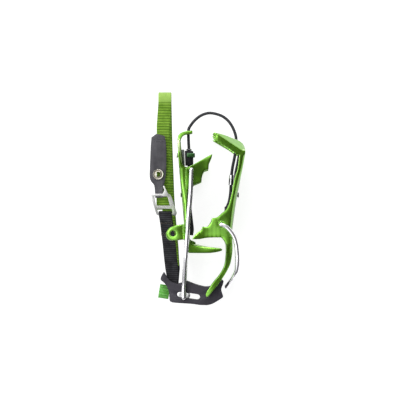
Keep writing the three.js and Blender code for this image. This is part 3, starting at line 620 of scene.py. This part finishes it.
def sheared_edges(mesh, place, flange, outwards, lip):
    """How far each point is on a cut edge, from its normal: of a flange, or of the lip elsewhere."""
    normal = np.empty(len(mesh.vertices) * 3, np.float32)
    mesh.vertices.foreach_get("normal", normal)
    normal = normal.reshape(-1, 3)
    on_flange = 1 - soft_step(abs(normal[:, 2]), 0.4, 0.8)
    on_flange *= 1 - soft_step(outwards * normal[:, 0], 0.2, 0.6)
    on_lip = (1 - soft_step(abs(normal[:, 0]), 0.45, 0.8)) * soft_step(place[:, 1], lip[0], lip[0] + 3)
    on_lip *= 1 - soft_step(place[:, 1], lip[1] - 4, lip[1] + 2)
    return on_lip + (on_flange - on_lip) * flange


def formed(node, paint, bend, outwards, lip=(0, 0)):
    """A section as bent sheet, which stands for its CAD node: rounded all over, crowned on its flanges,
    with a true radius along the bend. Its "cut" attribute is 1 on the sheared edges of its flanges and
    of the upright lip that lies between the two given places in Y."""
    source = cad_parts[node].data.copy()
    obj = skin(source, f"{node}_piece", ("REMESH", {"mode": "VOXEL", "voxel_size": VOXEL * MM}),
               ("SMOOTH", {"factor": 0.5, "iterations": 5}))
    mesh = obj.data
    soft = skin(mesh.copy(), "crowned", ("SMOOTH", {"factor": 0.5, "iterations": 45}))
    place, crowned = coordinates(mesh), coordinates(soft.data)
    bpy.data.objects.remove(soft)
    flange = soft_step(abs(place[:, 2]), *CROWN)
    place[:, 2] += (crowned[:, 2] - place[:, 2]) * flange
    rounded_bend(place, bend, outwards)
    mesh.vertices.foreach_set("co", ((place + (0, 0, MID)) * MM).astype(np.float32).ravel())
    mesh.update()
    cut = mesh.attributes.new("cut", "FLOAT", "POINT")
    cut.data.foreach_set("value", sheared_edges(mesh, place, flange, outwards, lip).astype(np.float32))
    mesh.materials.clear()
    mesh.materials.append(paint)
    return obj


def stands_for(obj, body, slot, *nodes):
    """Puts a piece on its body, in place of CAD nodes if any are given. Its slot is not used."""
    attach(obj, body)
    if nodes:
        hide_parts(*nodes)


def refined_nodes(rows):
    """Rows of a CAD node, its body, its slot, its paint and the width of its rounded edges."""
    for node, body, slot, paint, width in rows:
        stands_for(refined(node, paint, width), body, slot, node)


# ---------------------------------------------------------------- cord
CORD_ROUTE = [
    (33.6, -7.5), (35.4, 0), (36.5, 9), (36.9, 20), (38.3, 33), (41, 47), (42.4, 58), (42.4, 67),
    (41.6, 71), (38.6, 78.6), (34.2, 85.2), (27.6, 90.6), (19, 93.6), (12, 94.2), (4, 91.6), (-2.6, 86.6),
    (-7.4, 80.8), (-9.6, 76.8), (-10, 72), (-9.8, 62), (-9.4, 54), (-9.4, 35.4)]
# Each piece of the cord: its name, its ends' places in the route, the two bodies that it joins, where
# it starts and stops bending, its length in metres and the CAD nodes that it stands for.
CORD_PIECES = [
    ("cord_sheath_front", 0, 10, ("front", "cord_link_front"), ((42.4, 66), (40.6, 76)), 0.0955,
     ("cord_front",)),
    ("cord_sheath_arch", 10, 15, ("cord_link_front", "cord_link_heel"), ((24, 92.2), (14, 94.2)), 0.0415,
     ("cord_link_front",)),
    ("cord_sheath_heel", 15, 21, ("cord_link_heel", "heel"), ((-7.6, 80.6), (-10, 72)), 0.0536,
     ("cord_link_heel", "cord_heel")),
]


def braid(angle, along):
    """Height of the crossing strands of a braided cord."""
    around, turn = BRAID_STRANDS * angle, 2 * math.pi * along / BRAID_PITCH
    return BRAID_HEIGHT * (math.cos(around + turn) * math.cos(around - turn) - 0.4)


def knot(name, centre, paint):
    """An overhand knot, drawn up to a ball."""
    turns = [2 * math.pi * k / 72 for k in range(70)]
    loop = [Vector((centre[0] + 0.62 * (math.sin(t) + 2 * math.sin(2 * t)),
                    centre[1] + 0.62 * (math.cos(t) - 2 * math.cos(2 * t)),
                    -1.5 * math.sin(3 * t))) for t in turns]
    shell = Shell()
    shell.tube(loop, CORD_D / 2 * 0.85, 16)
    return shell.object(name, paint)


def cords():
    """The linking cord in three pieces, with its knots and its ferrule."""
    paint = cord_paint()
    steel = bare_metal("ferrule_steel", (0.80, 0.80, 0.79), 0.2)
    on_cord = {
        "cord_sheath_front": [
            (knot("cord_knot_front_piece", (32.6, -10.8), paint), "front", "cord", "cord_knot_front"),
            (refined("cord_ferrule", steel, 0.3), "front", "bright_steel", "cord_ferrule")],
        "cord_sheath_arch": [],
        "cord_sheath_heel": [
            (knot("cord_knot_heel_piece", (-9.4, 32.2), paint), "heel", "cord", "cord_knot_heel")]}
    route = through([(x, y, 0) for x, y in CORD_ROUTE], 0.4)
    for name, first, last, bodies, bend, length, nodes in CORD_PIECES:
        ends = [min(range(len(route)), key=lambda i: (route[i].xy - Vector(CORD_ROUTE[k])).length)
                for k in (first, last)]
        run = route[ends[0]:ends[1] + 1]
        shell = Shell()
        shell.tube(run, CORD_D / 2, 32, braid)
        piece = shell.object(name, paint, 80)
        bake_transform(piece)
        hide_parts(*nodes)
        for row in on_cord[name]:
            stands_for(*row)


# ---------------------------------------------------------------- metal sections
def sections():
    """The two bent sheets."""
    green = anodised("green_aluminium", (0.15, 0.41, 0.006), (0.66, 0.86, 0.38), bare="cut")
    stands_for(formed("front_frame", green, FRONT_BEND, 1), "front", "green_aluminium", "front_frame")
    stands_for(formed("heel_frame", green, HEEL_BEND, -1, HEEL_LIP), "heel", "green_aluminium", "heel_frame")


def fittings():
    """The antisnow plates with their clips, and the cord lock."""
    black = moulded("antisnow_plastic", (0.008, 0.008, 0.010), 0.5, (0.04, 0.04, 0.045), 0.2)
    grey = anodised("grey_metal", (0.33, 0.33, 0.35), (0.6, 0.6, 0.6), 0.35)
    dark_green = anodised("lock_green", (0.03, 0.15, 0.03), (0.2, 0.42, 0.2), 0.4)
    bright = bare_metal("bright_steel", (0.80, 0.80, 0.79), 0.2)
    rows = [("front_antisnow", "front", "antisnow_plastic", black, 0.8),
            ("heel_antisnow", "heel", "antisnow_plastic", black, 0.8),
            ("cord_lock_body", "heel", "lock_plastic", black, 0.5),
            ("cord_lock_plate", "heel", "grey_metal", grey, 0.4),
            ("cord_lock_collar", "heel", "grey_metal", grey, 0.3),
            ("cord_lock_button", "cord_lock_button", "lock_green", dark_green, 0.4),
            ("cord_lock_rivet", "heel", "bright_steel", bright, 0.3)]
    for side in ("near", "far"):
        rows.append((f"front_clip_{side}", "front", "antisnow_plastic", black, 0.35))
        rows.append((f"heel_clip_{side}", "heel", "antisnow_plastic", black, 0.35))
    refined_nodes(rows)


# ---------------------------------------------------------------- bails
def pin(shell, place, inner, outer):
    """A wire's turned-in end, across the crampon at a place in the plane."""
    shell.tube([Vector((*place, inner)), Vector((*place, outer))], PIN_R, 24)


def bails():
    """The toe bail, which is one wire, and the heel bail's two wires."""
    wire = bare_metal("steel_wire", (0.95, 0.94, 0.96), 0.2, (1, 0.06, 1), 0.08)
    toe_out, heel_out = HALF_WIDTH - TOE_WIRE_R, HALF_WIDTH - HEEL_WIRE_R
    half = [(*TOE_PIVOT, toe_out), (30.5, -30.6, toe_out), (36, -36, toe_out), (40, -42.4, toe_out),
            (42.4, -51, toe_out), (43.4, -61, toe_out), (43.4, -72, 40.6), (42.4, -79, 37.6),
            (39, -86, 30.5), (34.6, -93, 21.5), (32.3, -96.3, 13)]
    other = [(x, y, -z) for x, y, z in reversed(half)]
    shell = Shell()
    shell.tube(through([*half, (32.2, -96.5, 0), *other], 0.8), TOE_WIRE_R, 28)
    for side in (1, -1):
        pin(shell, TOE_PIVOT, side * PIN_END, side * toe_out)
    stands_for(shell.object("toe_bail_wire", wire), "toe_bail", "steel_wire", "toe_bail")
    px, py = LEVER_PIVOT
    route = [(*HEEL_PIVOT, heel_out), (-7.6, 6, heel_out), (-9.6, -18, heel_out), (-11.1, -40, heel_out),
             (-12.2, -57, heel_out), (-12.5, -62, heel_out - 0.1), (-12.8, -66, heel_out - 1.1),
             (-13.9, -82, 31.6), (-14.6, -93, LEVER_WIRE_Z + 0.9), (px, -98, LEVER_WIRE_Z),
             (px, py - 2.8, LEVER_WIRE_Z)]
    for name, side in (("near", 1), ("far", -1)):
        shell = Shell()
        shell.tube(through([(x, y, side * z) for x, y, z in route], 0.8), HEEL_WIRE_R, 28)
        pin(shell, HEEL_PIVOT, side * PIN_END, side * heel_out)
        pin(shell, LEVER_PIVOT, side * LEVER_PIN_END, side * LEVER_WIRE_Z)
        stands_for(shell.object(f"heel_bail_{name}_wire", wire), "heel_bail", "steel_wire",
                   f"heel_bail_{name}")


# ---------------------------------------------------------------- lever and adjuster
def adjuster():
    """The lever, the length adjuster in it and the strap's pins."""
    lever = moulded("lever_plastic", (0.036, 0.033, 0.042), 0.45, (0.10, 0.095, 0.11))
    # the wheel's grooves are darkened strongly with painted shade
    wheel = moulded("wheel_plastic", (0.12, 0.42, 0.06), 0.4, (0.45, 0.8, 0.32), groove_shade=0.8)
    block = bare_metal("block_steel", (0.86, 0.86, 0.85), 0.22, (0.1, 1, 1))
    dark = bare_metal("screw_steel", (0.42, 0.42, 0.43), 0.3)
    rows = [("heel_lever", "lever", "lever_plastic", lever, 1.0),
            ("adjuster_block", "adjuster_block", "bright_steel", block, 0.5),
            ("adjuster_wheel", "adjuster_wheel", "wheel_plastic", wheel, 0.3),
            ("adjuster_screw", "adjuster_wheel", "bright_steel", dark, 0.25),
            ("adjuster_washer", "lever", "bright_steel", block, 0.2),
            ("strap_pin_near", "lever", "bright_steel", dark, 0.3),
            ("strap_pin_far", "lever", "bright_steel", dark, 0.3)]
    refined_nodes(rows)


# ---------------------------------------------------------------- ankle strap
def straight(a, b):
    """Points from a towards b, without b."""
    a, b = Vector(a), Vector(b)
    count = max(1, round((b - a).length / BAND_STEP))
    return [a.lerp(b, k / count) for k in range(count)]


def chained(*stops):
    """Straight runs from stop to stop, without the last stop."""
    return [point for a, b in zip(stops, stops[1:]) for point in straight(a, b)]


def turned(x, y, z, radius, start, stop):
    """Points round a bar that lies along X, between two angles from +Y towards +Z."""
    count = max(4, round(abs(math.radians(stop - start)) * radius / BAND_STEP))
    angles = [math.radians(start + (stop - start) * k / count) for k in range(count + 1)]
    return [Vector((x, y + radius * math.cos(a), z + radius * math.sin(a))) for a in angles]


def ribs(pitch, depth, smooth=None):
    """Half thickness of ribbed webbing; the ribs fade out between two places along it."""
    def height(along, share):
        rib = abs(math.sin(math.pi * along / pitch)) ** 0.6
        if smooth:
            middle, reach = (smooth[0] + smooth[1]) / 2, (smooth[1] - smooth[0]) / 2
            rib *= min(1, max(0.12, (abs(along - middle) - reach) / 6))
        selvedge = 1 - max(0, abs(share) - 0.86) / 0.14 * 0.5
        return WEB / 2 - depth + depth * rib * selvedge
    return height


def green_webbing():
    """Up the far side, over the top, down the near side, round the buckle's slide bar and back up."""
    run = [*chained((-27, -74, -14.7), (-27.4, -66, -13.9), (-28.2, -52, -12), (-30.4, -28, -LOOP_R),
                    (-32.6, 0, -LOOP_R), (-34.8, 60, -LOOP_R), (-35.8, LOOP_TOP, -LOOP_R)),
           *turned(-35.8, LOOP_TOP, 0, LOOP_R, -90, 90)[:-1],
           *chained((-35.8, LOOP_TOP, LOOP_R), (-37.6, 80, LOOP_R), (-37.6, 20, LOOP_R),
                    (-37.8, 2, 9.2), (*BUCKLE_BAR, SLIDE_Z - SLIDE_PLY)),
           *turned(*BUCKLE_BAR, SLIDE_Z, SLIDE_PLY, 270, 90)[:-1],
           *chained((*BUCKLE_BAR, SLIDE_Z + SLIDE_PLY), (-37.8, -4, 12.7), (-37.8, 1, 14.2)),
           Vector((-37.8, 1, 14.2))]
    top = lengths(run)[max(range(len(run)), key=lambda i: run[i].y)]
    paint = webbing_paint("green_webbing", (0.14, 0.31, 0.015), (0.27, 0.47, 0.05), GREEN_PITCH,
                          (top + 6, 9))
    shell = Shell()
    shell.band(run, [WEB_WIDTH] * len(run), ribs(GREEN_PITCH, 0.3, (top - 6, top + 16)))
    stands_for(shell.object("strap_green_webbing", paint, 60), "strap", "green_webbing", "strap_webbing")


def black_webbings():
    """From the strap's pins in the lever: the near one round the buckle's lower bar and back under
    itself, the far one to the green webbing. Both are folded narrower at their pin."""
    paint = webbing_paint("black_webbing", (0.012, 0.012, 0.014), (0.055, 0.055, 0.062), BLACK_PITCH)
    folded = [((STRAP_PIN[0], -99.5, STRAP_PIN_Z), 8), ((*STRAP_PIN, STRAP_PIN_Z), 11)]
    near_run = [(-28.2, -76, STRAP_PIN_Z), (-29.4, -66, 15.8), *NEAR_SLOPE, (*LOWER_BAR, LOWER_Z + PLY)]
    far_run = [(-26.6, -76, -STRAP_PIN_Z), (-27.6, -66, -16.3), (-28.6, -52, -14.5), (-30.6, -28.6, -13.5)]
    back_under = [*turned(*LOWER_BAR, LOWER_Z, PLY, 90, -90),
                  *straight((*LOWER_BAR, LOWER_Z - PLY), (-33.8, -27, LOWER_Z - PLY))[1:]]
    for name, side, open_run, rest in (("near", 1, near_run, back_under),
                                       ("far", -1, far_run, [Vector(far_run[-1])])):
        stations = [((x, y, side * z), width) for (x, y, z), width in folded]
        stations += [(point, WEB_WIDTH) for point in open_run]
        run, widths = [], []
        for (a, width), (b, next_width) in zip(stations, stations[1:]):
            part = straight(a, b)
            run += part
            widths += [width + (next_width - width) * k / len(part) for k in range(len(part))]
        shell = Shell()
        shell.band([*run, *rest], widths + [WEB_WIDTH] * len(rest), ribs(BLACK_PITCH, 0.2))
        stands_for(shell.object(f"strap_black_webbing_{name}", paint, 60), "strap", "black_webbing",
                   f"strap_lower_{name}")


def bartacks():
    """Blocks of close zigzag stitches that hold the near black webbing's end."""
    paint = thread_paint("bartack_thread", (0.10, 0.075, 0.04))
    ys, zs = zip(*((y, z) for _, y, z in NEAR_SLOPE))
    for name, x, y, width, count in (("bartack_upper", -34.1, -26.6, 11.5, 26),
                                     ("bartack_lower", -37.0, -39.2, 6, 14)):
        line = []
        for k in range(count + 1):
            along = y + (1.1 if k % 2 else -1.1)
            z = np.interp(along, ys, zs) + WEB / 2 - 0.05
            line.append(Vector((x - width / 2 + width * k / count, along, z)))
        shell = Shell()
        shell.tube(line, 0.28, 8)
        stands_for(shell.object(name, paint, 80), "strap", "black_webbing")


def tab():
    """The pull tab, with two rows of stitches."""
    paint = leather_paint()
    stands_for(refined("strap_tab", paint, 0.45, 3), "strap", "tab_leather", "strap_tab")
    thread = thread_paint("tab_thread", (0.03, 0.03, 0.035))
    z = BAR_Z + PLY + WEB / 2
    shell = Shell()
    for row_y in (62.5, 65):
        for k in range(6):
            x = -47.6 + k * 2.1
            stitch = [(x, row_y, z), (x + 0.7, row_y, z + 0.12), (x + 1.4, row_y, z)]
            shell.tube([Vector(point) for point in stitch], 0.22, 8)
    stands_for(shell.object("tab_stitches", thread, 80), "strap", "tab_leather")


def lathe(name, centre, profile, paint):
    """A ring about the Z axis; its profile is pairs of radius and height."""
    sides = 64
    shell = Shell()
    verts = [[Vector((centre[0] + r * math.cos(2 * math.pi * k / sides),
                      centre[1] + r * math.sin(2 * math.pi * k / sides), centre[2] + h)) for r, h in profile]
             for k in range(sides)]
    count = len(profile)
    shell.verts = [at(*q) for ring in verts for q in ring]
    for k in range(sides):
        for i in range(count):
            a, b = k * count, ((k + 1) % sides) * count
            n = (i + 1) % count
            shell.faces.append((a + i, b + i, b + n, a + n))
            shell.uvs += [(i, k), (i, k + 1), (i + 1, k + 1), (i + 1, k)]
    return shell.object(name, paint, 50)


def hardware():
    """The eyelet and the buckle."""
    bright = bare_metal("polished_steel", (0.95, 0.94, 0.92), 0.24, metallic=0.55)
    profile = [(2.7, -1.85), (5.3, -1.85), (5.3, -1.2), (3.6, -1.2), (3.6, 1.0), (5.6, 1.0), (5.9, 1.4),
               (5.8, 2.0), (5.3, 2.35), (4.8, 2.2), (4.5, 1.5), (4.2, 1.1), (3.9, 1.5), (3.6, 2.2),
               (3.1, 2.3), (2.7, 1.9), (2.5, 1.0), (2.5, -1.6)]
    brass = bare_metal("eyelet_brass", (0.78, 0.75, 0.66), 0.16, marked=0.1)
    ring = lathe("eyelet_ring", (*EYELET, BAR_Z + PLY), profile, brass)
    stands_for(ring, "strap", "bright_steel", "strap_eyelet")
    stands_for(refined("buckle_frame", bright, 0.6, 3), "strap", "bright_steel", "buckle_frame")
    stands_for(refined("buckle_slide_bar", bright, 0.3), "strap", "bright_steel", "buckle_slide_bar")
    stands_for(refined("buckle_release", bright, 0.4), "buckle_release", "bright_steel", "buckle_release")


camera()
cords()
studio()
sections()
fittings()
bails()
adjuster()
green_webbing()
black_webbings()
bartacks()
tab()
hardware()
